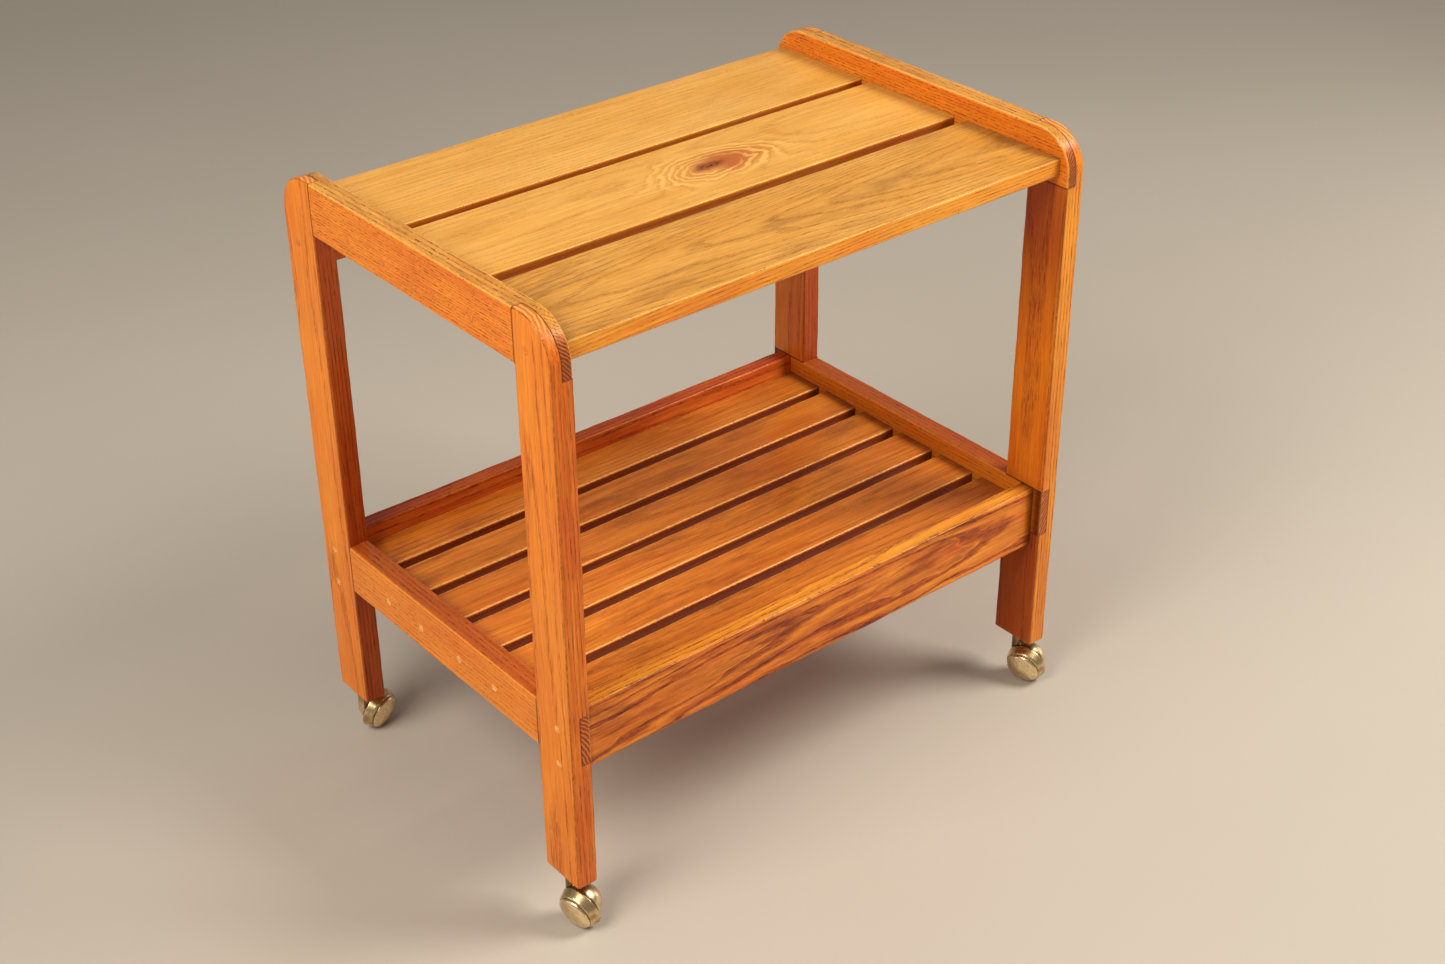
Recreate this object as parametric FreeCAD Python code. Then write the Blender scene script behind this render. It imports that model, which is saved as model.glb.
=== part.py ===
import FreeCAD, Part
import math
import os

# Book cart: two half-lapped oak end frames, a three-board top, a slatted shelf and four
# hooded ball casters. Millimetres, +Z up, origin on the floor under the middle of the cart,
# +X along the length, +Y towards the back.

V = FreeCAD.Vector

# ---- driving dimensions ----
LENGTH = 660.0            # over the outer faces of the two end frames
WIDTH = 448.0             # over the outer edges of the legs
LEG_LENGTH = 618.0
LEG_BOTTOM = 57.5         # height of the legs' lower ends above the floor
FRAME_T = 23.4            # thickness of legs and end rails
LEG_W = 54.4
UPPER_RAIL_H = 54.8
LOWER_RAIL_H = 56.1
LOWER_RAIL_TOP = 262.3
TOP_CORNER_R = 42.0       # rounded top corners of the end frames
EDGE_R = 2.0              # eased edges

BOARD_T = 19.0            # top boards, slats, aprons and stretcher
TOP_SURFACE = 650.1
RECESS = 12.0             # boards and aprons stand back from the legs' edges
BACK_BOARD_FRONT = 81.0
MIDDLE_BOARD_FRONT = -62.0
MIDDLE_BOARD_BACK = 68.5
FRONT_BOARD_BACK = -78.0
STRETCHER_H = 55.5

APRON_H = 72.6
SLAT_TOP = 241.1
SLAT_W = 52.0
SLAT_GAP = 13.1
SLAT_COUNT = 6

SCREW_R = 2.1
SCREW_LENGTH = 48.0
SCREW_HEAD_R = 4.0
SCREW_HEAD_H = 2.6
PLUG_R = 4.75
PLUG_DEPTH = 7.0
TOP_SCREW_Y = (42.0, 104.0, 187.0)
SLAT_SCREW_Y = (-96.7, -34.8, 34.8, 96.7)
APRON_SCREW_DROP = (18.5, 60.0)

TRAIL = 14.4              # the wheel's rim centre stands this far from the stem, along the hood
RIM_OFFSET = 2.7          # and this far to the wheel's side of the stem
RIM_R = 23.85             # rear edge of the tread band, the widest part of the wheel
BAND_R = 21.55            # front edge of the tread's flat part
BAND_L = 9.0
SHOULDER_R = 20.2         # rear edge of the groove, past the tread's shoulder
SHOULDER_L = 1.8
STEM_R = 3.96
SOCKET_BORE_R = 4.02
SOCKET_R = 5.25
SOCKET_DEPTH = 36.0
SOCKET_FLANGE_R = 7.6
SOCKET_FLANGE_T = 1.2
COLLAR_R = 6.2
COLLAR_H = 1.6
COLLAR_GAP = 0.3
STEM_IN_BOSS = 14.0
BOSS_R = 7.2
BOSS_BOTTOM = 30.0
HOOD_R = 19.7
HOOD_T = 1.9
HOOD_LIFT = 4.0           # the hood's dome is centred this far above the wheel's rim centre
HOOD_GAP = 0.8            # between the hood's open side and the wheel's rear edge
GROOVE_W = 0.7
GROOVE_DEPTH = 1.0
CAP_R = 19.4
CAP_H = 6.5
CAP_SHOULDER_R = 3.0
CAP_T = 1.5
WHEEL_CLEARANCE = 0.6
AXLE_R = 2.5
AXLE_BORE_R = 2.56
AXLE_HEAD_R = 4.2
AXLE_HEAD_T = 1.5
HUB_R = 5.0
HUB_REAR = -5.0
HUB_FRONT = 12.5
HUB_GAP = 0.3
SHELL_T = 2.2

# ---- derived places ----
HALF_L = LENGTH / 2
HALF_W = WIDTH / 2
LEG_TOP = LEG_BOTTOM + LEG_LENGTH
INNER_X = HALF_L - FRAME_T
LAP_X = HALF_L - FRAME_T / 2
WINDOW_Y = HALF_W - LEG_W
UPPER_RAIL_BOTTOM = LEG_TOP - UPPER_RAIL_H
LOWER_RAIL_BOTTOM = LOWER_RAIL_TOP - LOWER_RAIL_H
FACE_Y = HALF_W - RECESS
APRON_INNER_Y = FACE_Y - BOARD_T
BOARD_MID_Z = TOP_SURFACE - BOARD_T / 2
SLAT_MID_Z = SLAT_TOP - BOARD_T / 2
STRETCHER_TOP = TOP_SURFACE - BOARD_T
STEM_X = HALF_L - FRAME_T / 2
STEM_Y = HALF_W - LEG_W / 2
COLLAR_TOP = LEG_BOTTOM - SOCKET_FLANGE_T - COLLAR_GAP
BOSS_TOP = COLLAR_TOP - COLLAR_H

# name of each corner: (side along X, side along Y, swivel angle of the caster in degrees)
CORNERS = {
    "front_left": (-1, -1, -78.0),
    "front_right": (1, -1, -73.0),
    "back_left": (-1, 1, 20.0),
    "back_right": (1, 1, 103.0),
}


def box(x0, x1, y0, y1, z0, z1):
    """Solid between two corners."""
    return Part.makeBox(x1 - x0, y1 - y0, z1 - z0, V(x0, y0, z0))


def eased(shape, radius=EDGE_R):
    """The same solid with every edge rounded."""
    return shape.makeFillet(radius, shape.Edges)


def along(origin, axis):
    """Placement that takes +Z to the given axis and the origin to the given point."""
    return FreeCAD.Placement(origin, FreeCAD.Rotation(V(0, 0, 1), axis))


# ---- end frames ----
def end_frame():
    """One whole end frame at the right end, edges eased, before it is divided into its pieces."""
    body = box(INNER_X, HALF_L, -HALF_W, HALF_W, LEG_BOTTOM, LEG_TOP)
    corners = [e for e in body.Edges if abs(e.BoundBox.ZMin - LEG_TOP) < 0.01 and e.BoundBox.YLength < 0.01]
    body = body.makeFillet(TOP_CORNER_R, corners)
    window = box(INNER_X, HALF_L, -WINDOW_Y, WINDOW_Y, LOWER_RAIL_TOP, UPPER_RAIL_BOTTOM)
    below = box(INNER_X, HALF_L, -WINDOW_Y, WINDOW_Y, LEG_BOTTOM, LOWER_RAIL_BOTTOM)
    body = body.cut(window).cut(below)
    rim = [e for e in body.Edges if e.BoundBox.XLength < 0.01]
    return body.makeFillet(EDGE_R, rim)


def leg_space(side_y, x0, x1):
    """The block that a leg fills, before its two laps are cut."""
    y0, y1 = sorted((side_y * WINDOW_Y, side_y * HALF_W))
    whole = box(x0, x1, y0, y1, LEG_BOTTOM, LEG_TOP)
    inner0, inner1 = (x0, x0 + FRAME_T / 2) if x1 > 0 else (x1 - FRAME_T / 2, x1)
    upper_lap = box(inner0, inner1, y0, y1, UPPER_RAIL_BOTTOM, LEG_TOP)
    lower_lap = box(inner0, inner1, y0, y1, LOWER_RAIL_BOTTOM, LOWER_RAIL_TOP)
    return whole.cut(upper_lap).cut(lower_lap)


def screw_bores(side_x):
    """Counterbores and pilot holes of every screw at one end, as one cutter."""
    cutters = []
    for y, z in screw_places():
        outward = V(side_x, 0, 0)
        head_seat = V(side_x * (HALF_L - PLUG_DEPTH), y, z)
        cutters.append(Part.makeCylinder(PLUG_R, PLUG_DEPTH + 1, head_seat, outward))
        cutters.append(screw_solid(side_x, y, z))
    return Part.makeCompound(cutters)


def screw_places():
    """(y, z) of every screw in one end frame."""
    places = [(s * y, BOARD_MID_Z) for y in TOP_SCREW_Y for s in (-1, 1)]
    places.append((FACE_Y - BOARD_T / 2, STRETCHER_TOP - STRETCHER_H / 2))
    places += [(y, SLAT_MID_Z) for y in SLAT_SCREW_Y]
    apron_mid = FACE_Y - BOARD_T / 2
    places += [(s * apron_mid, LOWER_RAIL_TOP - drop) for drop in APRON_SCREW_DROP for s in (-1, 1)]
    return places


def screw_solid(side_x, y, z):
    """A countersunk wood screw whose head lies under its plug."""
    head_x = HALF_L - PLUG_DEPTH
    inward = V(-side_x, 0, 0)
    head = Part.makeCone(SCREW_HEAD_R, SCREW_R, SCREW_HEAD_H, V(side_x * head_x, y, z), inward)
    shank_len = SCREW_LENGTH - SCREW_HEAD_H - 2 * SCREW_R
    shank_at = V(side_x * (head_x - SCREW_HEAD_H), y, z)
    shank = Part.makeCylinder(SCREW_R, shank_len, shank_at, inward)
    tip_at = V(side_x * (head_x - SCREW_HEAD_H - shank_len), y, z)
    tip = Part.makeCone(SCREW_R, 0.3, 2 * SCREW_R, tip_at, inward)
    return head.fuse(shank).fuse(tip).removeSplitter()


def socket_hole(side_x, side_y):
    """Blind hole up into a leg for a caster's socket."""
    at = V(side_x * STEM_X, side_y * STEM_Y, LEG_BOTTOM - 1)
    return Part.makeCylinder(SOCKET_R, SOCKET_DEPTH + 3, at)


def end_pieces(side_x, frame):
    """Legs and rails of one end frame."""
    x0, x1 = sorted((side_x * INNER_X, side_x * HALF_L))
    bores = screw_bores(side_x)
    end = "right" if side_x > 0 else "left"
    pieces = {}
    legs = {}
    for depth, side_y in (("front", -1), ("back", 1)):
        space = leg_space(side_y, x0, x1)
        legs[depth] = space
        leg = frame.common(space).cut(socket_hole(side_x, side_y)).cut(bores)
        pieces[f"leg_{depth}_{end}"] = leg
    both_legs = legs["front"].fuse(legs["back"])
    upper = box(x0, x1, -HALF_W, HALF_W, UPPER_RAIL_BOTTOM, LEG_TOP).cut(both_legs)
    lower = box(x0, x1, -HALF_W, HALF_W, LOWER_RAIL_BOTTOM, LOWER_RAIL_TOP).cut(both_legs)
    pieces[f"upper_rail_{end}"] = frame.common(upper).cut(bores)
    pieces[f"lower_rail_{end}"] = frame.common(lower).cut(bores)
    return pieces


# ---- boards ----
def long_board(y0, y1, z0, z1):
    """A board between the two end frames, its four long edges eased."""
    plank = box(-INNER_X, INNER_X, y0, y1, z0, z1)
    long_edges = [e for e in plank.Edges if e.BoundBox.XLength > INNER_X]
    return plank.makeFillet(EDGE_R, long_edges)


def lengthwise_boards():
    """Top boards, back stretcher, aprons and slats."""
    under = TOP_SURFACE - BOARD_T
    boards = {
        "top_board_front": long_board(-FACE_Y, FRONT_BOARD_BACK, under, TOP_SURFACE),
        "top_board_middle": long_board(MIDDLE_BOARD_FRONT, MIDDLE_BOARD_BACK, under, TOP_SURFACE),
        "top_board_back": long_board(BACK_BOARD_FRONT, FACE_Y, under, TOP_SURFACE),
        "top_stretcher_back": long_board(APRON_INNER_Y, FACE_Y, under - STRETCHER_H, under),
        "apron_front": long_board(-FACE_Y, -APRON_INNER_Y, LOWER_RAIL_TOP - APRON_H, LOWER_RAIL_TOP),
        "apron_back": long_board(APRON_INNER_Y, FACE_Y, LOWER_RAIL_TOP - APRON_H, LOWER_RAIL_TOP),
    }
    for i in range(SLAT_COUNT):
        back_edge = APRON_INNER_Y - i * (SLAT_W + SLAT_GAP)
        slat = long_board(back_edge - SLAT_W, back_edge, SLAT_TOP - BOARD_T, SLAT_TOP)
        boards[f"shelf_slat_{i + 1}"] = slat
    bores = Part.makeCompound([screw_bores(-1), screw_bores(1)])
    return {name: board.cut(bores) for name, board in boards.items()}


# ---- fasteners ----
def fasteners(side_x):
    """The screws and the plugs of one end, each as a group of separate solids."""
    end = "right" if side_x > 0 else "left"
    screws = [screw_solid(side_x, y, z) for y, z in screw_places()]
    outward = V(side_x, 0, 0)
    plugs = []
    for y, z in screw_places():
        seat = V(side_x * (HALF_L - PLUG_DEPTH), y, z)
        plug = Part.makeCylinder(PLUG_R, PLUG_DEPTH, seat, outward)
        plugs.append(plug)
    return {f"screws_{end}": Part.makeCompound(screws), f"plugs_{end}": Part.makeCompound(plugs)}


# ---- casters, drawn with the stem on the Z axis and the wheel trailing towards +X ----
# The tread band is part of a cone. The axle dips until the cone lies flat on the floor.
TILT = math.atan2(RIM_R - BAND_R, BAND_L)
AXLE_DIR = V(0, -math.cos(TILT), -math.sin(TILT))
RIM_CENTRE = V(TRAIL, -RIM_OFFSET, RIM_R * math.cos(TILT))
AXLE_PLACE = along(RIM_CENTRE, AXLE_DIR)
HOOD_CENTRE = RIM_CENTRE + V(0, 0, HOOD_LIFT)
GROOVE_AT = BAND_L + SHOULDER_L
CAP_SEAT = GROOVE_AT + GROOVE_W
CAP_CROWN_R = (CAP_R ** 2 - 2 * CAP_R * CAP_SHOULDER_R + CAP_H ** 2) / (2 * (CAP_H - CAP_SHOULDER_R))


def spun(edges):
    """Solid of revolution about the axle from the closed edges of its half section.

    X is the distance from the axle, and Z the distance along it from the tread band's rear edge.
    """
    solid = Part.Face(Part.Wire(edges)).revolve(V(0, 0, 0), V(0, 0, 1), 360)
    solid.Placement = AXLE_PLACE
    return solid


def turned(points):
    """Solid of revolution whose half section joins (distance along the axle, radius) points."""
    corners = [V(radius, 0, distance) for distance, radius in points]
    return spun([Part.LineSegment(a, b).toShape() for a, b in zip(corners, corners[1:] + corners[:1])])


def axle_cylinder(radius, a0, a1):
    """Cylinder about the axle between two stations."""
    return Part.makeCylinder(radius, a1 - a0, RIM_CENTRE + AXLE_DIR * a0, AXLE_DIR)


def wheel_solid():
    """Conical tread band, dish and hub in one casting, open towards the hood."""
    web_rear = CAP_SEAT - SHELL_T
    slope = math.tan(TILT)
    return turned([
        (0.0, RIM_R - SHELL_T),
        (0.0, RIM_R),
        (BAND_L, BAND_R),
        (GROOVE_AT, SHOULDER_R),
        (GROOVE_AT, SHOULDER_R - GROOVE_DEPTH),
        (CAP_SEAT, SHOULDER_R - GROOVE_DEPTH),
        (CAP_SEAT, HUB_R),
        (HUB_FRONT, HUB_R),
        (HUB_FRONT, AXLE_BORE_R),
        (HUB_REAR, AXLE_BORE_R),
        (HUB_REAR, HUB_R),
        (web_rear, HUB_R),
        (web_rear, RIM_R - SHELL_T - web_rear * slope),
    ])


def section_arc(centre, radius, start, finish):
    """Arc of a half section. Angles are from straight out (0) to along the axle (a right angle)."""
    angles = (start, (start + finish) / 2, finish)
    points = [centre + V(radius * math.cos(a), 0, radius * math.sin(a)) for a in angles]
    return Part.Arc(*points).toShape()


def cap_dome(inset):
    """Rounded shoulder under a low crown, standing on the cap's seat, this far inside the cap's surface."""
    middle = V(0, 0, CAP_SEAT)
    crown = middle + V(0, 0, CAP_H - inset)
    rim = middle + V(CAP_R - inset, 0, 0)
    turn = math.atan2(CAP_CROWN_R - CAP_H, CAP_R - CAP_SHOULDER_R)
    shoulder_centre = middle + V(CAP_R - CAP_SHOULDER_R, 0, 0)
    crown_centre = middle + V(0, 0, CAP_H - CAP_CROWN_R)
    return spun([
        section_arc(shoulder_centre, CAP_SHOULDER_R - inset, 0.0, turn),
        section_arc(crown_centre, CAP_CROWN_R - inset, turn, math.pi / 2),
        Part.LineSegment(crown, middle).toShape(),
        Part.LineSegment(middle, rim).toShape(),
    ])


def hub_cap():
    """Domed cap pressed over the wheel's outer face."""
    return cap_dome(0.0).cut(cap_dome(CAP_T))


def axle_solid():
    """Axle pin fixed in the hood, with a head outside the wheel's hub."""
    foot = -HOOD_R + HOOD_T
    head_at = HUB_FRONT + HUB_GAP
    pin = axle_cylinder(AXLE_R, foot, head_at)
    head = axle_cylinder(AXLE_HEAD_R, head_at, head_at + AXLE_HEAD_T)
    return pin.fuse(head).removeSplitter()


def stem_solid():
    """Stem, its collar over the hood's boss and its tapered upper end."""
    foot = BOSS_TOP - STEM_IN_BOSS
    top = LEG_BOTTOM + SOCKET_DEPTH - 2.0
    taper = 3.0
    rod = Part.makeCylinder(STEM_R, top - taper - foot, V(0, 0, foot))
    tip = Part.makeCone(STEM_R, STEM_R * 0.6, taper, V(0, 0, top - taper))
    collar = Part.makeCylinder(COLLAR_R, COLLAR_H, V(0, 0, BOSS_TOP))
    return rod.fuse(collar).fuse(tip).removeSplitter()


def hood_solid():
    """Domed hood with the stem's boss, hollow behind the wheel."""
    dome = Part.makeSphere(HOOD_R, HOOD_CENTRE)
    cavity = Part.makeSphere(HOOD_R - HOOD_T, HOOD_CENTRE)
    boss = Part.makeCylinder(BOSS_R, BOSS_TOP - BOSS_BOTTOM - BOSS_R, V(0, 0, BOSS_BOTTOM + BOSS_R))
    rounded_foot = Part.makeSphere(BOSS_R, V(0, 0, BOSS_BOTTOM + BOSS_R))
    wheel_sweep = axle_cylinder(RIM_R + WHEEL_CLEARANCE, -HOOD_GAP, BAND_L + CAP_H + HOOD_R)
    axle_boss = axle_cylinder(HUB_R, -HOOD_R, HUB_REAR - HUB_GAP)
    stem_hole = Part.makeCylinder(STEM_R, STEM_IN_BOSS, V(0, 0, BOSS_TOP - STEM_IN_BOSS))
    shell = dome.fuse(boss).fuse(rounded_foot).cut(cavity).cut(wheel_sweep)
    shell = shell.fuse(axle_boss.common(dome)).cut(stem_hole).cut(axle_solid())
    return shell.removeSplitter()


def socket_solid():
    """Steel sleeve in the leg, with a flange against the leg's end."""
    sleeve = Part.makeCylinder(SOCKET_R, SOCKET_DEPTH, V(0, 0, LEG_BOTTOM))
    flange_at = V(0, 0, LEG_BOTTOM - SOCKET_FLANGE_T)
    flange = Part.makeCylinder(SOCKET_FLANGE_R, SOCKET_FLANGE_T, flange_at)
    bore = Part.makeCylinder(SOCKET_BORE_R, SOCKET_DEPTH + SOCKET_FLANGE_T, flange_at)
    return sleeve.fuse(flange).cut(bore).removeSplitter()


def caster_pieces():
    """Every piece of all four casters, in place."""
    masters = {
        "socket": socket_solid(),
        "stem": stem_solid(),
        "hood": hood_solid(),
        "axle": axle_solid(),
        "wheel": wheel_solid(),
        "cap": hub_cap(),
    }
    pieces = {}
    for corner, (side_x, side_y, swivel) in CORNERS.items():
        at = V(side_x * STEM_X, side_y * STEM_Y, 0)
        place = FreeCAD.Placement(at, FreeCAD.Rotation(V(0, 0, 1), swivel))
        for piece, master in masters.items():
            solid = master.copy()
            solid.Placement = place.multiply(solid.Placement)
            pieces[f"caster_{piece}_{corner}"] = solid
    return pieces


def build():
    """Write every node's STEP file."""
    right = end_frame()
    left = right.mirror(V(0, 0, 0), V(1, 0, 0))
    nodes = {}
    nodes.update(end_pieces(-1, left))
    nodes.update(end_pieces(1, right))
    nodes.update(lengthwise_boards())
    nodes.update(fasteners(-1))
    nodes.update(fasteners(1))
    nodes.update(caster_pieces())
    os.makedirs("parts", exist_ok=True)
    for name, shape in nodes.items():
        if not shape.isValid():
            raise ValueError(f"{name} is not a valid shape")
        shape.exportStep(f"parts/{name}.step")
        print(name, len(shape.Solids), round(shape.Volume / 1000, 2), "cm3")


build()
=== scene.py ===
import math
from types import SimpleNamespace

import bmesh
import bpy
import numpy as np
from mathutils import Matrix, Vector


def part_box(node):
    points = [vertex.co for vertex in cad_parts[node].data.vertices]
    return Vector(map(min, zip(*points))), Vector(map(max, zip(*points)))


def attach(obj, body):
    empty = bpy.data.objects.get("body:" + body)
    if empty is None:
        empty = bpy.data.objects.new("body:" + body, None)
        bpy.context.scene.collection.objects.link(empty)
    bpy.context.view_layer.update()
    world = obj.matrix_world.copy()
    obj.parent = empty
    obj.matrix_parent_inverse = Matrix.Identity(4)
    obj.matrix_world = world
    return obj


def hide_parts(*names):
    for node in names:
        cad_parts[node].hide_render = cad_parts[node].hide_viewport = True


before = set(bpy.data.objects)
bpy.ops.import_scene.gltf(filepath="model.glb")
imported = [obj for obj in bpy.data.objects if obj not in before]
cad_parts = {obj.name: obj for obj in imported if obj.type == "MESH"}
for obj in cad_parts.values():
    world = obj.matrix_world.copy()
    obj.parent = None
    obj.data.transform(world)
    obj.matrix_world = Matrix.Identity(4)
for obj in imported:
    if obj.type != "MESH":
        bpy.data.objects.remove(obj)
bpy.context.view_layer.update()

# Lengths below are in millimetres until a mesh is made, in the frame of the CAD.
MM = 0.001
X, Y, Z = 0, 1, 2
SIDE_NAMES = {-1: "left", 1: "right"}
DEPTH_NAMES = {-1: "front", 1: "back"}


def mm_box(node):
    """Lowest and highest corner of a CAD node, in millimetres."""
    low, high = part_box(node)
    return np.array(low) / MM, np.array(high) / MM


def ramp(value, start, end):
    """0 at start and before it, 1 at end and after it. start may be the larger."""
    return np.clip((value - start) / (end - start), 0, 1)


def add_object(name, data):
    made = bpy.data.objects.new(name, data)
    bpy.context.scene.collection.objects.link(made)
    return made


def stand_in(made, node, body="cart_frame"):
    """Lets an object take the place of a CAD node on a body."""
    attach(made, body)
    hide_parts(node)


def store(mesh, marks):
    """Gives a mesh named values, one for each vertex, which its material reads."""
    for key, values in marks.items():
        layer = mesh.attributes.new(key, "FLOAT", "POINT")
        layer.data.foreach_set("value", np.asarray(values, np.float32))


# ---------------------------------------------------------------- shader nodes
class Shader:
    """A material under construction: short calls for the nodes that the finishes share."""

    def __init__(self, name):
        self.material = bpy.data.materials.new(name)
        self.material.use_nodes = True
        self.tree = self.material.node_tree
        self.tree.nodes.clear()
        self.coordinates = self.node("TexCoord")
        self.position = self.coordinates.outputs["Object"]

    def put(self, socket, value):
        """Links a node's output to a socket, or sets the socket's own value."""
        if isinstance(value, bpy.types.NodeSocket):
            self.tree.links.new(value, socket)
        else:
            socket.default_value = (*value, 1.0) if socket.type == "RGBA" else value

    def node(self, kind, inputs=None, **settings):
        made = self.tree.nodes.new("ShaderNode" + kind)
        for key, value in settings.items():
            setattr(made, key, value)
        for key, value in (inputs or {}).items():
            self.put(made.inputs[key], value)
        return made

    def math(self, operation, *values, clamp=False):
        made = self.node("Math", operation=operation, use_clamp=clamp)
        for socket, value in zip(made.inputs, values):
            self.put(socket, value)
        return made.outputs[0]

    def times(self, first, *others, clamp=False):
        for value in others:
            first = self.math("MULTIPLY", first, value, clamp=clamp)
        return first

    def plus(self, first, second):
        return self.math("ADD", first, second)

    def vector(self, operation, *values, out=0):
        made = self.node("VectorMath", operation=operation)
        for socket, value in zip(made.inputs, values):
            self.put(socket, value)
        return made.outputs[out]

    def noise(self, at, detail=2.0, rough=0.5):
        made = self.node("TexNoise", {"Vector": at, "Scale": 1.0, "Detail": detail, "Roughness": rough})
        return made.outputs["Fac"]

    def swing(self, noise, size):
        """A noise moved to swing about zero."""
        return self.times(self.math("SUBTRACT", noise, 0.5), size)

    def stretch(self, at, sizes):
        """The position in units of the given sizes, so that a noise has features that large."""
        return self.vector("MULTIPLY", at, tuple(1.0 / s for s in sizes))

    def mottle(self, *sizes, detail=2.0, rough=0.5):
        """Noise fixed to the object, with features of one size, or of one for each axis."""
        sizes = sizes if len(sizes) == 3 else sizes * 3
        return self.noise(self.stretch(self.position, [size * MM for size in sizes]), detail, rough)

    def step(self, value, low, high, to_low=0.0, to_high=1.0):
        made = self.node("MapRange", {"Value": value, "From Min": low, "From Max": high,
                                      "To Min": to_low, "To Max": to_high},
                         interpolation_type="SMOOTHSTEP")
        return made.outputs["Result"]

    def mix(self, factor, first, second, blend="MIX"):
        made = self.node("Mix", data_type="RGBA", blend_type=blend)
        for place, value in ((0, factor), (6, first), (7, second)):
            self.put(made.inputs[place], value)
        return made.outputs[2]

    def tinted(self, colour, tint):
        return self.mix(1.0, colour, tint, "MULTIPLY")

    def attribute(self, name):
        return self.node("Attribute", attribute_name=name).outputs["Fac"]

    def finish(self, inputs, relief=None):
        """Closes the material. relief is a height, its strength and its depth in metres."""
        if relief:
            bump = self.node("Bump", dict(zip(("Height", "Strength", "Distance"), relief)))
            inputs["Normal"] = bump.outputs[0]
        surface = self.node("BsdfPrincipled", inputs)
        self.node("OutputMaterial", {"Surface": surface.outputs[0]})
        return self.material


def linear(red, green, blue):
    """Linear colour of an sRGB colour given from 0 to 255."""
    made = []
    for value in (red, green, blue):
        share = value / 255
        made.append(share / 12.92 if share <= 0.04045 else ((share + 0.055) / 1.055) ** 2.4)
    return tuple(made)


# ---------------------------------------------------------------- oak
HAZE = 0.045        # linear light that the varnish adds by reflecting a pale room
HAZE_SHARE = 0.55   # the most of a dark colour that the haze may stand for


def under_varnish(red, green, blue):
    """Colour of wood that looks like the given sRGB colour through the varnish."""
    return tuple(value - min(HAZE, HAZE_SHARE * value) for value in linear(red, green, blue))


def tones(*colours):
    return tuple(under_varnish(*c) for c in colours)


# light wood, streaks, pores, worn edge (on the shelf slats partly a painted highlight), grime
PALETTES = {
    "frame": tones((242, 152, 56), (226, 124, 38), (150, 66, 20), (246, 166, 84), (104, 48, 16)),
    # painted light: a brighter copy of the narrow faces' palette for the front right leg, where more light
    # falls
    "frame_narrow_lit": tones((255, 172, 68), (228, 126, 42), (112, 48, 12), (248, 166, 82), (90, 40, 14)),
    "frame_narrow": tones((250, 146, 52), (212, 102, 30), (104, 40, 10), (240, 150, 70), (84, 36, 12)),
    "rail_top": tones((232, 170, 92), (204, 138, 66), (126, 76, 36), (244, 190, 112), (146, 100, 58)),
    "lower_rail_top": tones((190, 108, 46), (170, 88, 36), (90, 42, 18), (214, 132, 66), (90, 42, 20)),
    "top": tones((228, 175, 102), (216, 157, 82), (166, 106, 50), (244, 182, 98), (160, 112, 56)),
    "top_front": tones((220, 166, 94), (204, 144, 70), (142, 92, 42), (240, 178, 98), (138, 98, 52)),
    "board_edge": tones((255, 184, 84), (246, 142, 50), (130, 52, 14), (255, 194, 104), (110, 50, 16)),
    "shelf": tones((228, 147, 66), (198, 114, 45), (112, 52, 18), (252, 190, 110), (104, 58, 26)),
    "shelf_edge": tones((232, 134, 54), (202, 102, 36), (124, 52, 16), (252, 180, 100), (98, 48, 18)),
    "apron": tones((252, 164, 66), (234, 116, 34), (122, 40, 8), (248, 164, 74), (96, 36, 10)),
    "apron_top": tones((244, 170, 76), (222, 138, 54), (120, 60, 20), (246, 178, 88), (84, 36, 12)),
    "apron_back": tones((232, 134, 54), (200, 92, 32), (110, 40, 12), (236, 150, 74), (96, 40, 14)),
    "apron_back_top": tones((222, 120, 52), (184, 84, 32), (84, 36, 14), (214, 126, 64), (72, 32, 14)),
    "plug": tones((240, 148, 60), (216, 114, 44), (134, 60, 20), (236, 160, 84), (92, 44, 14)),
}
# linear tints for painted shade on hidden sides (the slats' own darker tones use it too), and for an old
# stain that soaked in
PAINTED_SHADE_TINT = (0.50, 0.31, 0.22)
STAINED = (0.42, 0.23, 0.12)
END_PORE, DUST, DARK_SEAM_AND_SHADE = tones((84, 34, 14), (128, 96, 62), (58, 24, 10))
KNOT_EYE, KNOT_RINGS, KNOT_HEART, KNOT_CORE = tones((178, 98, 44), (252, 196, 116), (150, 78, 34),
                                                    (44, 24, 15))

# turns that bring each axis onto Z, which the tree's heart follows in the shader
ONTO_Z = {X: Matrix.Rotation(math.radians(-90), 3, "Y"), Y: Matrix.Rotation(math.radians(90), 3, "X"),
          Z: Matrix.Identity(3)}
SEED_SHIFT = (37.0, 91.0, 213.0)

# how a piece of oak looks unless it says otherwise
PLAIN_OAK = {
    "seed": 0,
    "tilt": (0.0, 0.0),         # slope of the heart in degrees, which draws the cathedrals
    "ring": 4.2,                # width of a growth ring
    "bend": 8.0,                # how far waves push the rings
    "flame": 110,               # length of the quick waves
    "contrast": 1.0,            # darkness of the rings
    "pores": 1.0,               # darkness of the pores
    "dash": 10.0,               # how many times as long as wide a pore is
    "knot": None,               # centre, half length and half width, and how far it pushes the rings
    "other": None,              # palette of the faces that other_face names
    "other_face": "up",         # "up" for those that look up, "narrow" for those along Y
    "end_tones": ((118, 54, 26), (222, 142, 82)),
    "edge_wear": 0.6,           # pale rubbing on the edges; on the shelf slats also a painted highlight
    "edge_dirt": 0.0,           # dark handling on the edges
    "nicked": 1.0,              # how many dents the edges have
    "nick_size": 3.0,
    "grime": 0.0,               # strength of the stains
    "smear_size": (13, 60),     # their size across and along the grain
    "stain_all": False,         # True for stains on the sides too, where the wood has darkened
    "dusty": 0.0,               # dust at the two ends
}


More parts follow.
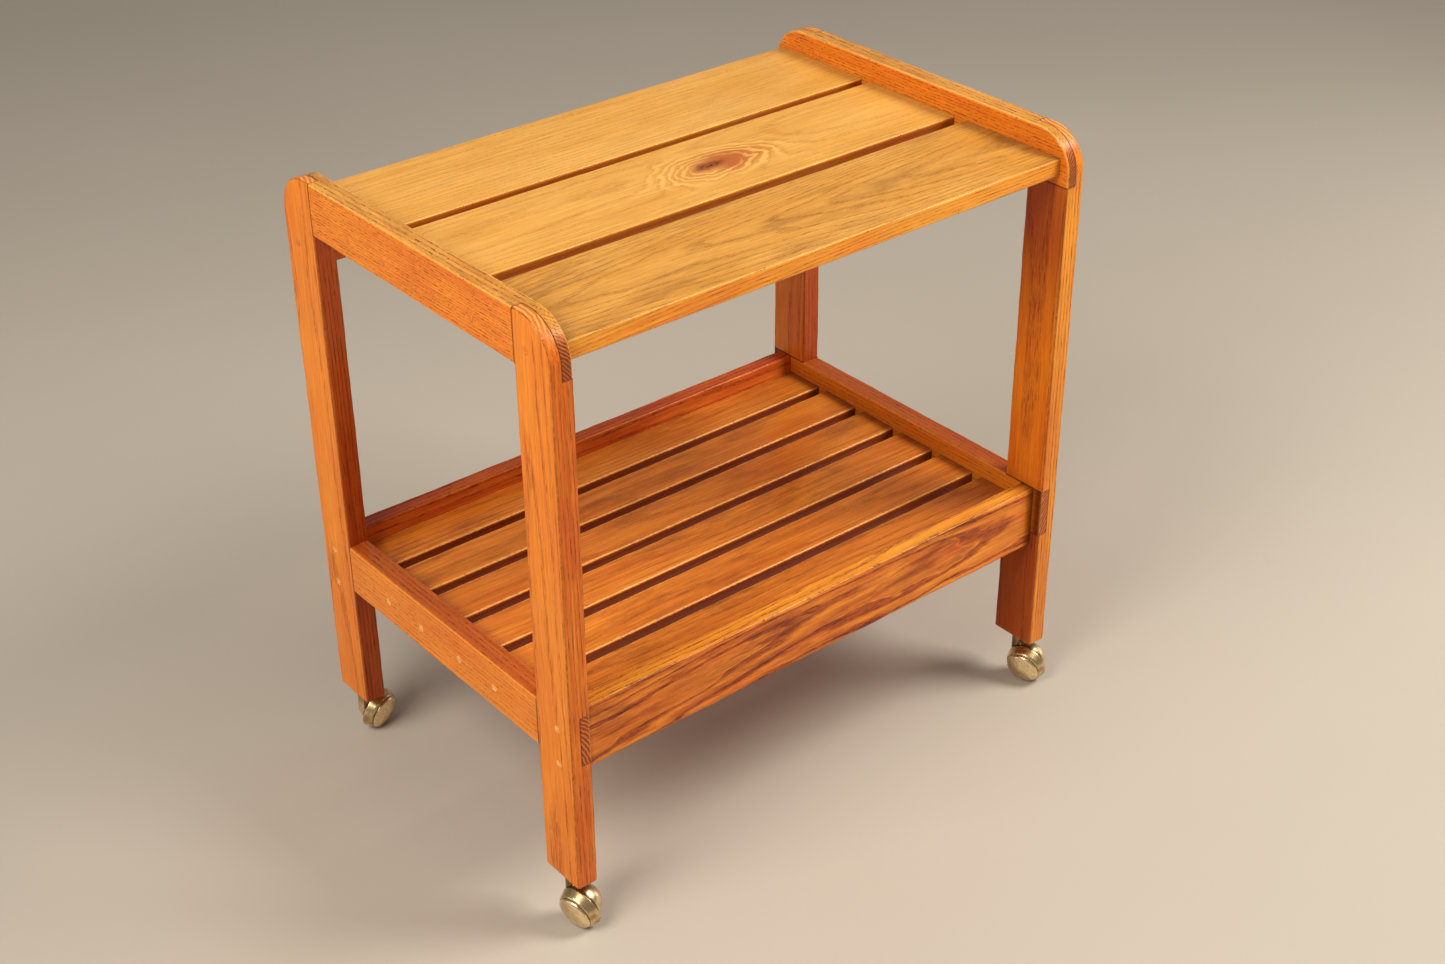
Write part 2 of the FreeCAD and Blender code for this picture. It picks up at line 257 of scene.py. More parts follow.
class Oak(Shader):
    """Varnished oak. grain is the axis that the grain follows, pith a point in the heart of the tree,
    and look what differs from PLAIN_OAK."""

    def __init__(self, name, palette, grain, pith, look):
        super().__init__(name)
        self.look = SimpleNamespace(**{**PLAIN_OAK, **look})
        tilt_x, tilt_y = (math.radians(degrees) for degrees in self.look.tilt)
        turn = Matrix.Rotation(tilt_x, 3, "X") @ Matrix.Rotation(tilt_y, 3, "Y") @ ONTO_Z[grain]
        mapping = {"Vector": self.position, "Location": -(turn @ Vector(pith)),
                   "Rotation": turn.to_euler("XYZ"), "Scale": (1 / MM,) * 3}
        self.wood = self.node("Mapping", mapping).outputs[0]
        self.moved = self.vector("ADD", self.wood, tuple(self.look.seed * far for far in SEED_SHIFT))
        normal = self.node("SeparateXYZ", {0: self.coordinates.outputs["Normal"]}).outputs
        self.end = self.step(self.math("ABSOLUTE", normal[grain]), 0.7, 0.9)
        self.facing = None
        colours = PALETTES[palette]
        if self.look.other:
            if self.look.other_face == "up":
                self.facing = self.step(normal[Z], 0.45, 0.85)
            else:
                self.facing = self.step(self.math("ABSOLUTE", normal[Y]), 0.8, 0.97)
            colours = [self.mix(self.facing, a, b) for a, b in zip(colours, PALETTES[self.look.other])]
        self.pale, self.streak, self.pore, self.worn, self.dirt = colours

    def figure(self, across, along, detail=2.0, rough=0.5):
        """Noise drawn out along the grain."""
        return self.noise(self.stretch(self.moved, (across, across, along)), detail, rough)

    def find_knot(self, centre, half_size, push):
        """Distance from the knot in units of its half size, drawn out to the right and a little shaken."""
        gap = self.vector("SUBTRACT", self.vector("MULTIPLY", self.position, (1 / MM,) * 3), centre)
        self.beside = self.node("SeparateXYZ", {0: gap}).outputs[X]
        drawn_out = self.times(self.math("MAXIMUM", self.beside, 0.0), -0.34)
        gap = self.vector("ADD", gap, self.node("CombineXYZ", {"X": drawn_out}).outputs[0])
        shaken = self.noise(self.stretch(gap, (22, 15, 15)))
        self.gap = self.vector("MULTIPLY", gap, (1 / half_size[0], 1 / half_size[1], 0.0))
        self.away = self.plus(self.vector("LENGTH", self.gap, out=1), self.swing(shaken, 0.45))
        bell = self.math("POWER", 2.718, self.times(self.away, self.away, -0.8))
        self.radius = self.plus(self.radius, self.times(bell, push))

    def rings(self):
        """Growth rings: distance from the heart, pushed by slow and quick waves and by a knot."""
        look = self.look
        flat = self.vector("MULTIPLY", self.wood, (1.0, 1.0, 0.0))
        waves = self.plus(self.swing(self.figure(70, 420, detail=1.0), 2 * look.bend),
                          self.swing(self.figure(14, look.flame), 0.35 * look.bend))
        self.radius = self.plus(self.vector("LENGTH", flat, out=1), waves)
        if look.knot:
            self.find_knot(*look.knot)
        self.part = self.math("FRACT", self.math("DIVIDE", self.radius, look.ring))
        self.early = self.times(self.step(self.part, 0.0, 0.08), self.step(self.part, 0.44, 0.2))
        self.late = self.times(self.step(self.part, 0.5, 0.95), self.step(self.part, 1.0, 0.96))

    def pores(self):
        """Short dark dashes, crowded in the early wood. On end grain they are dots along the rings."""
        dash = self.look.dash
        fine = self.figure(0.6, 0.6 * dash, rough=0.65)
        coarse = self.figure(1.0, 1.4 * dash, rough=0.65)
        self.dashes = self.math("MAXIMUM", self.step(fine, 0.54, 0.64), self.step(coarse, 0.55, 0.63))
        crowd = self.plus(0.18, self.times(self.early, 0.82))
        self.dark = self.times(self.dashes, crowd, 0.85 * self.look.pores, clamp=True)

    def long_grain(self):
        """Colour along the grain: faint streaks and patches, the rings' bands, pores and fibres."""
        streaks = self.figure(3.2, 240, detail=3.0, rough=0.6)
        self.patches = self.figure(50, 150)
        tone = self.plus(self.times(self.step(streaks, 0.32, 0.68), 0.5),
                         self.times(self.step(self.patches, 0.3, 0.72), 0.5))
        band = self.plus(self.times(self.early, 0.62), self.times(self.late, 0.28))
        band = self.times(band, 0.5 * self.look.contrast, clamp=True)
        if self.look.stain_all:
            band = self.times(band, self.step(self.facing, 0.0, 1.0, 1.0, 0.45))
        colour = self.mix(tone, self.pale, self.streak)
        colour = self.mix(band, colour, self.mix(0.5, self.streak, self.pore))
        colour = self.mix(self.dark, colour, self.pore)
        self.fibres = self.figure(0.9, 50, detail=3.0, rough=0.6)
        shade = self.step(self.fibres, 0.28, 0.72, 0.82, 1.13)
        grey = self.node("CombineColor", {"Red": shade, "Green": shade, "Blue": shade}).outputs[0]
        return self.tinted(colour, grey)

    def with_end_grain(self, colour):
        """Adds the end grain: ring lines and pores, in the two end tones."""
        shaken = self.plus(self.radius, self.times(self.figure(5, 5, detail=3.0), 3.0))
        part = self.math("FRACT", self.math("DIVIDE", shaken, 1.1 * self.look.ring))
        ring_lines = self.times(self.step(part, 0.1, 0.35), self.step(part, 0.8, 0.5),
                                self.step(self.patches, 0.3, 0.65, 0.6, 1.0))
        sawn = self.mix(ring_lines, *tones(*self.look.end_tones))
        sawn = self.mix(self.times(self.dashes, 0.3), sawn, END_PORE)
        return self.mix(self.times(self.end, 0.85), colour, sawn)

    def with_knot(self, colour):
        """Adds the knot: a stained eye, pale rings around it, and a dark cracked core."""
        away = self.away
        swirl = self.times(self.step(self.part, 0.15, 0.4), self.step(self.part, 0.8, 0.55))
        rightwards = self.step(self.beside, -10.0, 25.0, 0.3, 1.0)
        clear = self.math("SUBTRACT", away, self.times(rightwards, 0.4))
        around = self.times(self.step(away, 1.8, 1.1), self.step(clear, 0.2, 0.5))
        crack = self.noise(self.stretch(self.gap, (0.06, 0.14, 1.0)), detail=4.0, rough=0.75)
        colour = self.mix(self.times(self.step(away, 1.4, 0.6), rightwards, 0.85), colour, KNOT_EYE)
        colour = self.mix(self.times(around, swirl, 0.6), colour, KNOT_RINGS)
        colour = self.mix(self.times(self.step(away, 0.5, 0.18), 0.8), colour, KNOT_HEART)
        core = self.times(self.step(away, 0.34, 0.1), self.step(crack, 0.46, 0.58))
        return self.mix(core, colour, KNOT_CORE)

    def with_stains(self, colour):
        """Adds old smears, on the faces that look up or, with stain_all, mostly on the others."""
        smear = self.figure(*self.look.smear_size, detail=5.0, rough=0.7)
        blot = self.figure(50, 170)
        stain = self.times(self.step(smear, 0.4, 0.68), self.step(blot, 0.38, 0.62))
        dirt = self.dirt
        if self.look.stain_all:
            dirt = self.tinted(colour, STAINED)
            stain = self.times(stain, self.step(self.facing, 0.0, 1.0, 1.0, 0.15))
        elif self.facing:
            stain = self.times(stain, self.facing)
        return self.mix(self.times(stain, self.look.grime, clamp=True), colour, dirt)

    def with_wear(self, colour):
        """Adds rubbed and soiled edges (on the shelf slats partly a painted highlight), dents, stains, dust,
        and the dark seams at the joints with painted shade in gaps and recesses.
        """
        look = self.look
        edge = self.attribute("edge")
        speckle = self.mottle(5, detail=4.0, rough=0.7)
        rubbed = self.step(self.plus(edge, self.times(speckle, 0.9)), 0.98, 1.35)
        # pale rubbed edges; on the shelf slats they are partly a painted highlight
        colour = self.mix(self.times(rubbed, look.edge_wear), colour, self.worn)
        if look.edge_dirt:
            soiled = self.times(self.step(edge, 0.62, 0.95), self.step(speckle, 0.32, 0.6, 0.35, 1.0))
            colour = self.mix(self.times(soiled, look.edge_dirt), colour, self.dirt)
        nicks = self.mottle(look.nick_size, detail=3.0, rough=0.6)
        self.bitten = self.times(self.step(nicks, 0.66 - 0.03 * look.nicked, 0.7 - 0.02 * look.nicked),
                                 self.step(edge, 0.35, 0.85))
        colour = self.mix(self.times(self.bitten, 0.6), colour, self.dirt)
        if look.grime:
            colour = self.with_stains(colour)
        if look.dusty:
            dust = self.times(self.attribute("dust"), self.step(speckle, 0.2, 0.7, 0.5, 1.0), look.dusty)
            colour = self.mix(dust, colour, DUST)
        quiet = self.end if look.other_face == "up" else self.math("MAXIMUM", self.end, self.facing)
        # the seam mark also carries painted shade and shadow in gaps, recesses and at the front apron's ends
        seam = self.math("POWER", self.attribute("seam_and_shade"), 1.3)
        return self.mix(self.times(seam, self.step(quiet, 0.0, 1.0, 1.0, 0.5)), colour, DARK_SEAM_AND_SHADE)

    def varnish(self, colour):
        """Gloss broken by pores and handling, and relief from fibres, pores and dents."""
        handled = self.mottle(50, detail=3.0)
        rough = self.plus(self.step(handled, 0.3, 0.7, 0.28, 0.44), self.times(self.dark, 0.25))
        height = self.math("SUBTRACT", self.times(self.fibres, 0.3),
                           self.plus(self.dark, self.times(self.bitten, 1.5)))
        return self.finish({"Base Color": colour, "Roughness": rough, "Specular IOR Level": 0.24,
                            "Coat Weight": 0.12, "Coat Roughness": 0.08}, relief=(height, 0.6, 0.3 * MM))


def oak(node, palette, grain, pith, **look):
    s = Oak("oak_" + node, palette, grain, pith, look)
    s.rings()
    s.pores()
    colour = s.with_end_grain(s.long_grain())
    if s.look.knot:
        colour = s.with_knot(colour)
    # painted shade on hidden sides, and the slats' own darker tones, from the shade mark
    colour = s.mix(s.attribute("shade"), colour, s.tinted(colour, PAINTED_SHADE_TINT))
    return s.varnish(s.with_wear(colour))


# ---------------------------------------------------------------- wooden pieces
NEAR_EDGE = (0.0, 0.25, 0.6, 1.1, 1.7, 2.4, 3.4, 5.5)   # grid lines beside a worn edge
JOINT = 0.4             # how far a joint's edges are eased
JOINT_REACH = 1.3       # how far a joint's seam shows
WEAR_REACH = 5.5        # how far an edge's wear shows
DUST_REACH = 40.0
STEP = 9.0              # cells of the grid elsewhere
LONG_STEP = 11.0        # cells along a piece's length
EASED = (0.8, 3.3)      # least and most that hands have rounded an edge
TOUCH = 0.01            # slack for points that lie on a plane


def lines(low, high, cuts=(), extra=(), worn=True, step=STEP):
    """Grid lines from low to high, close together at each cut and, where worn, at both ends."""
    found = {low, high, *extra}
    if worn:
        found |= {low + d for d in NEAR_EDGE} | {high - d for d in NEAR_EDGE}
    for cut in cuts:
        found |= {cut + d for d in (-JOINT_REACH, -JOINT, 0.0, JOINT, JOINT_REACH)}
    found = sorted(v for v in found if low - 1e-6 <= v <= high + 1e-6)
    merged = found[:1]
    for value in found[1:]:
        if value - merged[-1] > 1e-4:
            merged.append(value)
    full = []
    for first, second in zip(merged, merged[1:]):
        count = max(1, round((second - first) / step))
        full += [first + (second - first) * i / count for i in range(count)]
    return np.array(full + [merged[-1]])


def shell(axes, filled):
    """Boundary of the filled cells of a grid, as points and outward quads."""
    counts = [len(a) for a in axes]
    padded = np.pad(filled, 1)
    quads = []
    for axis in (X, Y, Z):
        others = [a for a in (X, Y, Z) if a != axis]
        grid = np.moveaxis(padded, axis, 0)
        before, after = grid[:-1, 1:-1, 1:-1], grid[1:, 1:-1, 1:-1]
        for facing, mask in ((1, before & ~after), (-1, after & ~before)):
            place = np.nonzero(mask)
            corners = []
            for step_a, step_b in ((0, 0), (1, 0), (1, 1), (0, 1)):
                index = [None] * 3
                index[axis] = place[0]
                index[others[0]] = place[1] + step_a
                index[others[1]] = place[2] + step_b
                corners.append((index[0] * counts[1] + index[1]) * counts[2] + index[2])
            quad = np.stack(corners, 1)
            if (facing > 0) != (axis != Y):
                quad = quad[:, ::-1]
            quads.append(quad)
    quads = np.concatenate(quads)
    used, flat = np.unique(quads, return_inverse=True)
    first, rest = np.divmod(used, counts[1] * counts[2])
    second, third = np.divmod(rest, counts[2])
    points = np.stack([axes[0][first], axes[1][second], axes[2][third]], 1)
    return points, flat.reshape(-1, 4)


def wobble(along, seed, waves=((170, 0.5), (63, 0.35), (27, 0.3), (11, 0.2))):
    """Repeatable slow noise along an edge, about -1 to 1, from waves of (length, size)."""
    rng = np.random.default_rng(seed)
    total = np.zeros_like(along)
    for length, size in waves:
        total += size * np.sin(2 * np.pi * along / (length * rng.uniform(0.8, 1.2)) + rng.uniform(0, 6.28))
    return total


def worn_radius(along, seed, base=2.0, vary=0.38):
    return np.clip(base * (1 + vary * wobble(along, seed)), *EASED)


class Piece:
    """A wooden piece: a grid shell whose edges are rounded one after another. Its marks say how worn,
    seamed and dusty it is at each point, and where shade and shadow are painted on it."""

    def __init__(self, axes, missing=None):
        """missing tells from a cell's middle whether the cell is cut away."""
        middles = np.meshgrid(*[(a[1:] + a[:-1]) / 2 for a in axes], indexing="ij")
        filled = ~missing(*middles) if missing else np.ones(middles[0].shape, bool)
        self.points, self.quads = shell(axes, filled)
        self.flat = self.points.copy()
        self.marks = {key: np.zeros(len(self.points)) for key in ("edge", "seam_and_shade", "dust", "shade")}

    def mark(self, key, values):
        self.marks[key] = np.maximum(self.marks[key], values)

    def plane(self, axis, side, place):
        """Depth under a flat face and its outward normal, for every point."""
        normal = np.zeros((len(self.points), 3))
        normal[:, axis] = side
        return (place - self.points[:, axis]) * side, normal

    def round(self, first, second, radius, where=True, worn=True):
        """Rounds the edge between two faces, each given as (depth, normal)."""
        (da, na), (db, nb) = first, second
        qa, qb = radius - da, radius - db
        near = (qa > 1e-9) & (qb > 1e-9) & where
        far = np.hypot(qa, qb)
        share = np.where(near, np.maximum(qa, qb) / np.where(far > 0, far, 1), 1.0) - 1.0
        gap = np.hypot(np.maximum(da, 0), np.maximum(db, 0))
        key, reach = ("edge", WEAR_REACH) if worn else ("seam_and_shade", JOINT_REACH)
        self.mark(key, np.where(where, ramp(gap, reach, 0), 0))
        self.points = self.points + (na * qa[:, None] + nb * qb[:, None]) * share[:, None]

    def seam(self, first, second, where=True):
        """Eases the edge between two faces at a joint, and darkens it."""
        self.round(first, second, JOINT, where, worn=False)

    def finish(self, node, material):
        mesh = bpy.data.meshes.new(node + "_worn")
        mesh.from_pydata((self.points * MM).tolist(), [], self.quads.tolist())
        mesh.update()
        store(mesh, self.marks)
        mesh.materials.append(material)
        mesh.shade_smooth()
        stand_in(add_object(node + "_worn", mesh), node)


GAP_DEPTH = (0.6, 4.1)      # how far down a side in a gap the painted shade grows dark
GAP_EXTRA_SHADE = 0.4
SKIN = 2.0                  # how far a face's shade reaches round its edges
# darkness of the seams at a board's ends, also the strength of the front apron's painted end shadow
END_SEAM_AND_SHADOW = 0.8
APRON_END_SHADOW = (9.0, 3.0)     # the front apron's ends: a painted shadow of open gaps, measured from its ends


def long_board(node, material, seed, base, vary):
    """A board along X whose four long edges are eased by hand."""
    low, high = mm_box(node)
    xs = lines(low[X], high[X], cuts=(low[X], high[X]), worn=False, step=LONG_STEP)
    piece = Piece((xs, lines(low[Y], high[Y]), lines(low[Z], high[Z])))
    x, y, z = piece.flat.T
    faces = {(axis, side): piece.plane(axis, side, high[axis] if side > 0 else low[axis])
             for axis in (X, Y, Z) for side in (-1, 1)}
    for number, (side_y, side_z) in enumerate(((-1, -1), (-1, 1), (1, -1), (1, 1)), 1):
        radius = worn_radius(x, seed * 10 + number, base, vary)
        piece.round(faces[Y, side_y], faces[Z, side_z], radius)
    # painted shade down the sides that face a narrow gap
    for side_y in GAP_SIDES.get(node, ()):
        hidden = ramp(high[Z] - z, *GAP_DEPTH) ** 0.5 * ramp(faces[Y, side_y][0], SKIN, 0)
        piece.mark("shade", hidden)
        piece.mark("seam_and_shade", GAP_EXTRA_SHADE * hidden)
    piece.mark("shade", SLAT_TONE.get(node, 0))
    for side_x in (-1, 1):
        depth = faces[X, side_x][0]
        piece.mark("seam_and_shade", END_SEAM_AND_SHADOW * ramp(depth, JOINT_REACH, 0))
        piece.mark("dust", ramp(depth, DUST_REACH, 0) ** 2)
        # painted shadow of open gaps at the front apron's ends
        if node == "apron_front":
            piece.mark("seam_and_shade", END_SEAM_AND_SHADOW * ramp(depth, *APRON_END_SHADOW))
    piece.finish(node, material)


leg_low, leg_high = mm_box("leg_front_left")
lower_low, lower_high = mm_box("lower_rail_left")
FRAME_OUT = -leg_low[X]
FRAME_IN = -leg_high[X]
FRAME_MID = (FRAME_OUT + FRAME_IN) / 2
HALF_WIDTH = -leg_low[Y]
WINDOW = -leg_high[Y]
LEG_TOP = leg_high[Z]
APRON_FACE = -mm_box("apron_front")[0][Y]
UPPER_BOTTOM = mm_box("upper_rail_left")[0][Z]
ARC = 42.0
ARC_Y = HALF_WIDTH - ARC
ARC_Z = LEG_TOP - ARC
ARC_STEPS = [ARC * math.tan(math.radians(d)) for d in range(0, 45, 5)]
FOOT_R = 1.6
FOOT_REACH = 8.0
CUT_REACH = 3.0             # how far a lap's shoulder is looked for

# heights between which painted shade darkens the legs' hidden sides: front legs under the top
# and below the shelf, back legs all the way down
UNDER_TOP = (430.0, 560.0)
UNDER_TOP_SHADE = 0.85
BELOW_SHELF = (lower_high[Z] + 3, lower_high[Z] - 5)
BACK_LEG = (430.0, 170.0)
BACK_LEG_SHADE = (0.65, 0.95)


def bend_corners(piece):
    """Bends the square top corners of an end frame to their arc, and returns depth under the outline."""
    p = piece.points
    side = np.sign(p[:, Y])
    qy, qz = np.abs(p[:, Y]) - ARC_Y, p[:, Z] - ARC_Z
    corner = (qy > 0) & (qz > 0)
    reach = np.maximum(qy, qz)
    far = np.where(corner, np.hypot(qy, qz), 1.0)
    share = np.where(corner, reach / far, 1.0)
    piece.points[:, Y] = np.where(corner, side * (ARC_Y + qy * share), p[:, Y])
    piece.points[:, Z] = np.where(corner, ARC_Z + qz * share, p[:, Z])
    normal = np.zeros_like(p)
    depth_side, depth_top = HALF_WIDTH - np.abs(p[:, Y]), LEG_TOP - p[:, Z]
    top = (depth_top < depth_side) & ~corner
    depth = np.where(corner, ARC - reach, np.minimum(depth_side, depth_top))
    normal[:, Y] = np.where(corner, side * qy / far, np.where(top, 0, side))
    normal[:, Z] = np.where(corner, qz / far, np.where(top, 1, 0))
    return depth, normal


def lapped(z, slack=0.0):
    """Whether a rail laps over the legs at this height."""
    return ((z > lower_low[Z] - slack) & (z < lower_high[Z] + slack)) | (z > UPPER_BOTTOM - slack)


def leg(node, side_x, side_y, material, seed):
    """A leg: full thickness, except where the rails lap over its inner half."""
    xs = lines(FRAME_IN, FRAME_OUT, cuts=(FRAME_MID,)) * side_x
    ys = lines(WINDOW, HALF_WIDTH, extra=[ARC_Y + s for s in ARC_STEPS]) * side_y
    zs = lines(leg_low[Z], LEG_TOP, cuts=(lower_low[Z], lower_high[Z], UPPER_BOTTOM),
               extra=[ARC_Z + s for s in ARC_STEPS], step=LONG_STEP)
    piece = Piece((np.sort(xs), np.sort(ys), zs), lambda x, y, z: (np.abs(x) < FRAME_MID) & lapped(z))
    outline = bend_corners(piece)
    z, depth_x = piece.flat[:, Z], np.abs(piece.flat[:, X])
    at_rail = lapped(z, TOUCH)
    outer_face = piece.plane(X, side_x, side_x * FRAME_OUT)
    inner_face = piece.plane(X, -side_x, side_x * FRAME_IN)
    window = piece.plane(Y, -side_y, side_y * WINDOW)
    foot = piece.plane(Z, -1, leg_low[Z])
    piece.round(outer_face, outline, worn_radius(z, seed * 10 + 1, 2.4))
    piece.round(inner_face, outline, worn_radius(z, seed * 10 + 2), where=~at_rail)
    piece.round(outer_face, window, worn_radius(z, seed * 10 + 3), where=~at_rail)
    piece.round(inner_face, window, worn_radius(z, seed * 10 + 4), where=~at_rail)
    piece.seam(outer_face, window, where=at_rail)
    for face in (outer_face, inner_face, outline, window):
        piece.round(foot, face, FOOT_R, where=z < leg_low[Z] + FOOT_REACH)
    lap_floor = piece.plane(X, -side_x, side_x * FRAME_MID)
    piece.seam(lap_floor, outline, where=(depth_x >= FRAME_MID - TOUCH) & at_rail)
    for cut, up in ((lower_low[Z], 1), (lower_high[Z], -1), (UPPER_BOTTOM, 1)):
        shoulder = piece.plane(Z, up, cut)
        beside = (depth_x <= FRAME_MID + TOUCH) & (np.abs(z - cut) < CUT_REACH)
        for face in (outline, inner_face):
            piece.seam(shoulder, face, where=beside)
    # painted shade on the legs' hidden sides
    near_inside = ramp(depth_x - FRAME_IN, SKIN, 0)
    near_window = ramp(np.abs(piece.flat[:, Y]) - WINDOW, SKIN, 0)
    if side_y < 0:
        by_height = np.maximum(UNDER_TOP_SHADE * ramp(z, *UNDER_TOP), ramp(z, *BELOW_SHELF))
        piece.mark("shade", np.maximum(near_inside, near_window) * by_height)
    else:
        least, most = BACK_LEG_SHADE
        piece.mark("shade", near_window * (least + (most - least) * ramp(z, *BACK_LEG)))
    piece.finish(node, material)


def rail(node, side_x, material, seed):
    """An end rail: its inner half runs over both legs, and its outer half fits between them."""
    low, high = mm_box(node)
    top_arcs = node.startswith("upper")
    xs = lines(FRAME_IN, FRAME_OUT, cuts=(FRAME_MID,)) * side_x
    extra_y = [side * (ARC_Y + s) for s in ARC_STEPS for side in (-1, 1)] if top_arcs else []
    extra_z = [ARC_Z + s for s in ARC_STEPS] if top_arcs else []
    ys = lines(-HALF_WIDTH, HALF_WIDTH, cuts=(-WINDOW, WINDOW), extra=extra_y, step=LONG_STEP)
    zs = lines(low[Z], high[Z], extra=extra_z)
    piece = Piece((np.sort(xs), ys, zs), lambda x, y, z: (np.abs(x) > FRAME_MID) & (np.abs(y) > WINDOW))
    y, depth_x = piece.flat[:, Y], np.abs(piece.flat[:, X])
    on_leg = np.abs(y) > WINDOW - TOUCH
    outer_face = piece.plane(X, side_x, side_x * FRAME_OUT)
    inner_face = piece.plane(X, -side_x, side_x * FRAME_IN)
    bottom = piece.plane(Z, -1, low[Z])
    outline = bend_corners(piece) if top_arcs else piece.plane(Z, 1, high[Z])
    piece.round(outer_face, outline, worn_radius(y, seed * 10 + 1, 2.6, 0.4), where=~on_leg)
    piece.round(inner_face, outline, worn_radius(y, seed * 10 + 2, 2.3), where=~on_leg | top_arcs)
    piece.round(outer_face, bottom, worn_radius(y, seed * 10 + 3), where=~on_leg)
    piece.round(inner_face, bottom, worn_radius(y, seed * 10 + 4), where=~on_leg)
    piece.seam(inner_face, bottom, where=on_leg)
    if not top_arcs:
        piece.seam(inner_face, outline, where=on_leg)
    lap_floor = piece.plane(X, side_x, side_x * FRAME_MID)
    over_leg = (depth_x <= FRAME_MID + TOUCH) & on_leg
    for side in (-1, 1):
        end = piece.plane(Y, side, side * HALF_WIDTH)
        here = over_leg & (y * side > 0)
        piece.seam(end, bottom, where=here)
        if not top_arcs:
            piece.round(inner_face, end, worn_radius(piece.flat[:, Z], seed * 10 + 5), where=here)
            piece.seam(end, outline, where=here)
            piece.seam(lap_floor, end, where=here)
        shoulder = piece.plane(Y, side, side * WINDOW)
        beside = (depth_x >= FRAME_MID - TOUCH) & (np.abs(y - side * WINDOW) < CUT_REACH)
        for face in (outer_face, outline, bottom):
            piece.seam(shoulder, face, where=beside)
    if top_arcs:
        piece.seam(lap_floor, outline, where=over_leg)
    else:
        # painted shade and shadow on the lower rail's inner face in the recess beyond the apron
        past_apron = ramp(np.abs(y), APRON_FACE, APRON_FACE + SKIN) * ramp(depth_x - FRAME_IN, SKIN, 0)
        piece.mark("shade", past_apron)
        piece.mark("seam_and_shade", 0.7 * past_apron)
    piece.finish(node, material)


# sides along Y on which a board faces a narrow gap
GAP_SIDES = {"top_board_front": (1,), "top_board_middle": (-1, 1), "top_board_back": (-1,),
             "shelf_slat_1": (-1,), "shelf_slat_6": (1,)}
GAP_SIDES.update({f"shelf_slat_{i}": (-1, 1) for i in range(2, 6)})
# each slat's own darker tone, given through the shade mark
SLAT_TONE = {"shelf_slat_2": 0.08, "shelf_slat_3": 0.14, "shelf_slat_5": 0.04, "shelf_slat_6": 0.2}

LEG_OAK = dict(ring=4.4, contrast=0.7, pores=0.9, other_face="narrow", bend=6.0, dash=26.0, edge_wear=0.22,
               edge_dirt=0.6, end_tones=((200, 120, 58), (252, 184, 112)))
# first seed, how far outside the frame the heart lies, its height, and the look
RAILS = {
    "upper_rail": (11, 35, 585, dict(tilt=(0.4, 0.6), ring=2.6, contrast=0.5, pores=1.5, edge_wear=0.75,
                                     other="rail_top", bend=4.0, grime=0.6, dash=7.0,
                                     end_tones=((104, 48, 24), (196, 112, 58)))),
    "lower_rail": (21, 40, 190, dict(tilt=(0.5, -0.6), ring=3.4, contrast=0.5, other="lower_rail_top",
                                     bend=4.0, dash=6.0, end_tones=((140, 58, 22), (228, 130, 60)))),
}
KNOT = ((23.6, 2.5, 650), (46, 25), 30.0)
BOARDS = {
    "top_board_front": dict(palette="board_edge", other="top_front", pith=(0, -150, 560), tilt=(0.2, 1.6),
                            ring=3.0, grime=0.6, pores=0.7, dash=14.0, edge_wear=0.3, flame=60,
                            smear_size=(24, 120), dusty=0.4),
    "top_board_middle": dict(palette="board_edge", other="top", pith=(0, 20, 540), tilt=(0.3, 0.6), ring=4.4,
                             contrast=0.45, grime=0.2, pores=0.5, dash=7.0, edge_wear=0.3, knot=KNOT),
    "top_board_back": dict(palette="board_edge", other="top", pith=(0, 240, 470), tilt=(0.2, 0.2), ring=3.6,
                           contrast=0.35, grime=0.1, pores=0.5, dash=7.0, edge_wear=0.3),
    "top_stretcher_back": dict(palette="frame", pith=(0, 300, 600), contrast=0.7),
    "apron_front": dict(palette="apron", other="apron_top", pith=(0, -165, 222), tilt=(1.1, 0.5), ring=6.5,
                        contrast=2.7, bend=17.0, edge_wear=0.1, edge_dirt=0.3, nicked=2.5, nick_size=5.5,
                        dash=16.0, grime=0.95, flame=65, stain_all=True, smear_size=(9, 70)),
    "apron_back": dict(palette="apron_back", other="apron_back_top", pith=(0, 270, 220), tilt=(1.0, 0.4),
                       ring=5.0, contrast=1.2, grime=0.7, edge_wear=0.3, stain_all=True),
}


def slat_looks():
    """The shelf slats' looks: each sawn from another place in its tree."""
    rng = np.random.default_rng(5)
    looks = {}
    for i in range(1, 7):
        node = f"shelf_slat_{i}"
        low, high = mm_box(node)
        middle = (low[Y] + high[Y]) / 2
        # the slats' pale worn front edges are partly a painted highlight
        looks[node] = dict(
            palette="shelf_edge", other="shelf",
            pith=(0, middle + rng.uniform(-40, 40), 240 + rng.uniform(-110, -60)),
            tilt=(rng.uniform(-0.5, 0.5), rng.uniform(0.3, 1.2)), ring=rng.uniform(3.6, 5.0),
            contrast=0.9, grime=0.45, dusty=0.6, edge_wear=0.7, pores=0.4, dash=16.0)
    looks["shelf_slat_6"].update(grime=0.5, pores=0.6, edge_wear=0.4)
    return looks


